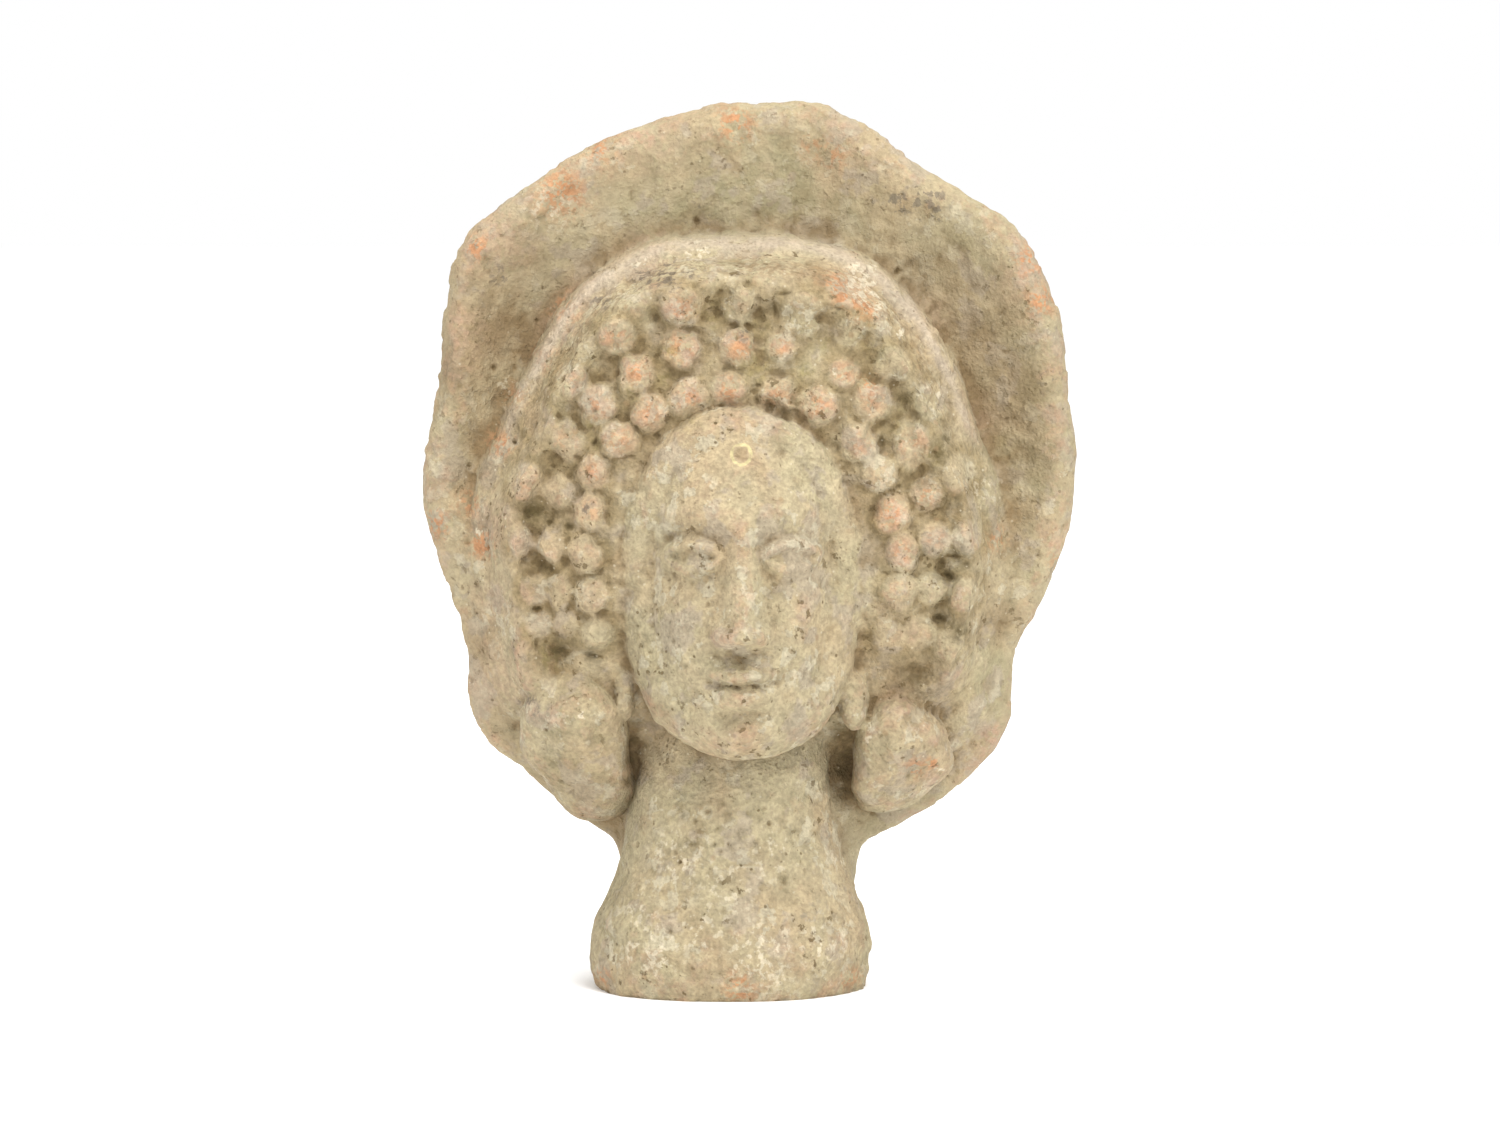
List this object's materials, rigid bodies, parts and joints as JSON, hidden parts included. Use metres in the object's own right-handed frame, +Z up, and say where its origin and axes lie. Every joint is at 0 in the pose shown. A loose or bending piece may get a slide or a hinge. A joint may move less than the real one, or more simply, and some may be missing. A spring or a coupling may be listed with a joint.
{
  "type": "clay head sculpture",
  "caption": "Small fired-clay head of a woman with snail curls in a hood, a wide veil behind and a neck that widens to a flat foot.",
  "frame": {"origin": "middle of the foot's flat underside", "axes": "+Z up, from the foot to the top of the veil; -Y the way the face looks; +X to the right as seen from in front"},
  "size_m": [0.0653, 0.036, 0.0889],
  "materials": {
    "fired_clay": "matt, gritty, weathered low-fired clay, buff with a grey-green cast and worn orange high spots"
  },
  "bodies": {
    "root": {"clay_head": "fired_clay"}
  },
  "joints": []
}
